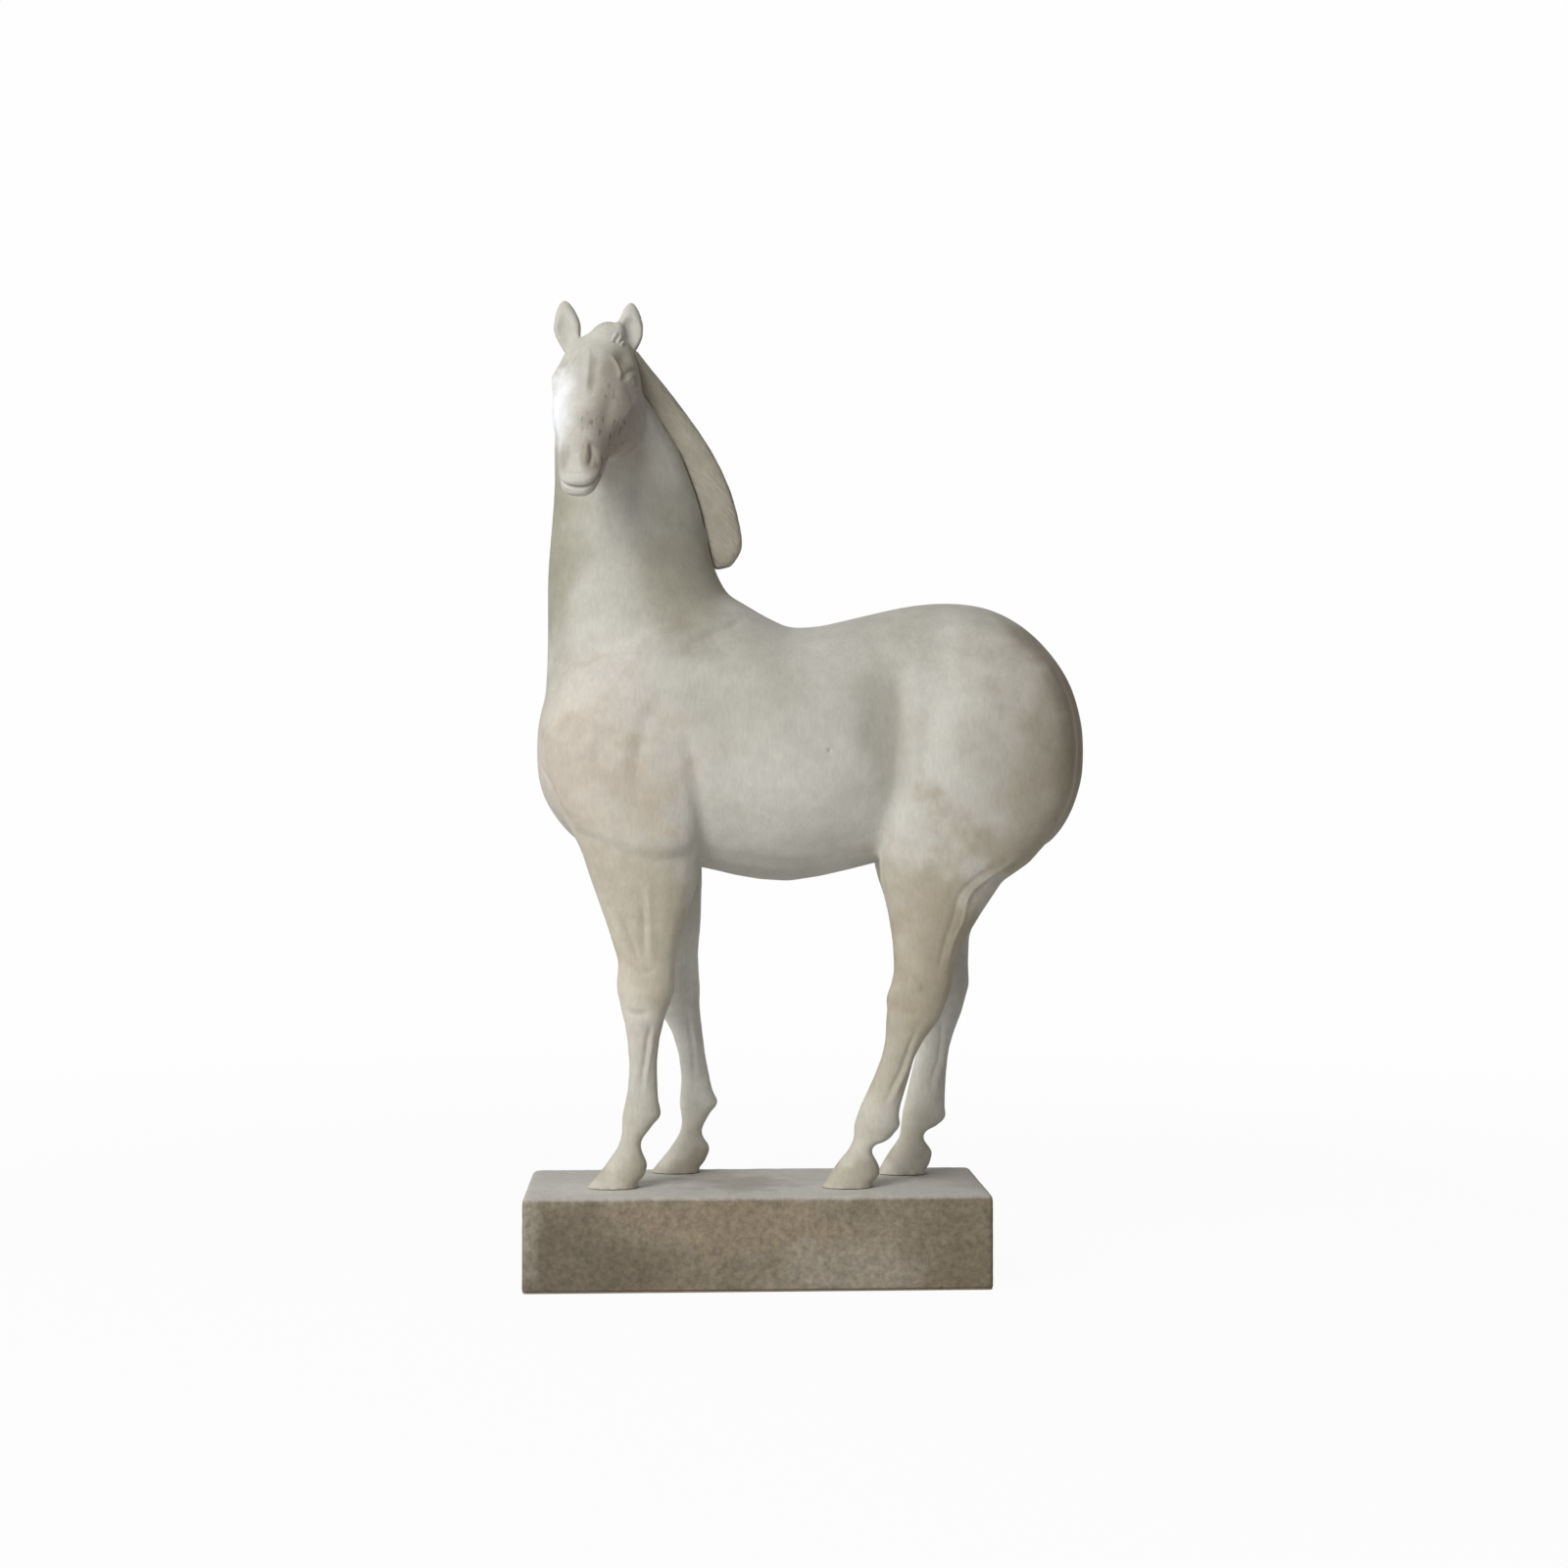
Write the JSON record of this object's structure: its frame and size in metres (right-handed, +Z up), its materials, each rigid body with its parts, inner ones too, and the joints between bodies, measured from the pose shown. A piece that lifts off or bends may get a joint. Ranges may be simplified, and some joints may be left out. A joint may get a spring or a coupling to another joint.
{
  "type": "horse statue",
  "caption": "Standing horse with its head turned to the side and a short upright mane, cast in aged off-white stone resin on a plain rectangular plinth.",
  "frame": {"origin": "middle of the plinth's footprint, on the underside of the felt sheet that it rests on", "axes": "+Z up; +X along the plinth from the horse's chest to its tail, so the horse faces -X; +Y to the horse's right, so its turned face looks towards -Y"},
  "size_m": [0.296, 0.1291, 0.5151],
  "materials": {
    "horse_casting": "matt off-white cast stone resin with a thin grey-green and tan patina in its hollows",
    "plinth_stone": "matt mottled brown-grey cast stone, lighter and greyer on top",
    "steel": "plain drawn steel, hidden inside",
    "felt": "dark grey wool felt"
  },
  "bodies": {
    "root": {"felt_sheet": "felt", "plinth": "plinth_stone", "leg_left_fore": "horse_casting", "leg_right_fore": "horse_casting", "leg_left_hind": "horse_casting", "leg_right_hind": "horse_casting", "body_left_shell": "horse_casting", "body_right_shell": "horse_casting", "head": "horse_casting", "ear_left": "horse_casting", "ear_right": "horse_casting", "mane": "horse_casting", "rod_left_fore": "steel", "rod_right_fore": "steel", "rod_left_hind": "steel", "rod_right_hind": "steel", "washer_left_fore": "steel", "washer_right_fore": "steel", "washer_left_hind": "steel", "washer_right_hind": "steel", "nut_left_fore": "steel", "nut_right_fore": "steel", "nut_left_hind": "steel", "nut_right_hind": "steel", "seam_pin_loin": "steel", "seam_pin_croup": "steel", "seam_pin_belly": "steel", "seam_pin_brisket": "steel", "seam_pin_throat": "steel", "seam_pin_crest": "steel", "head_pin": "steel"}
  },
  "joints": []
}
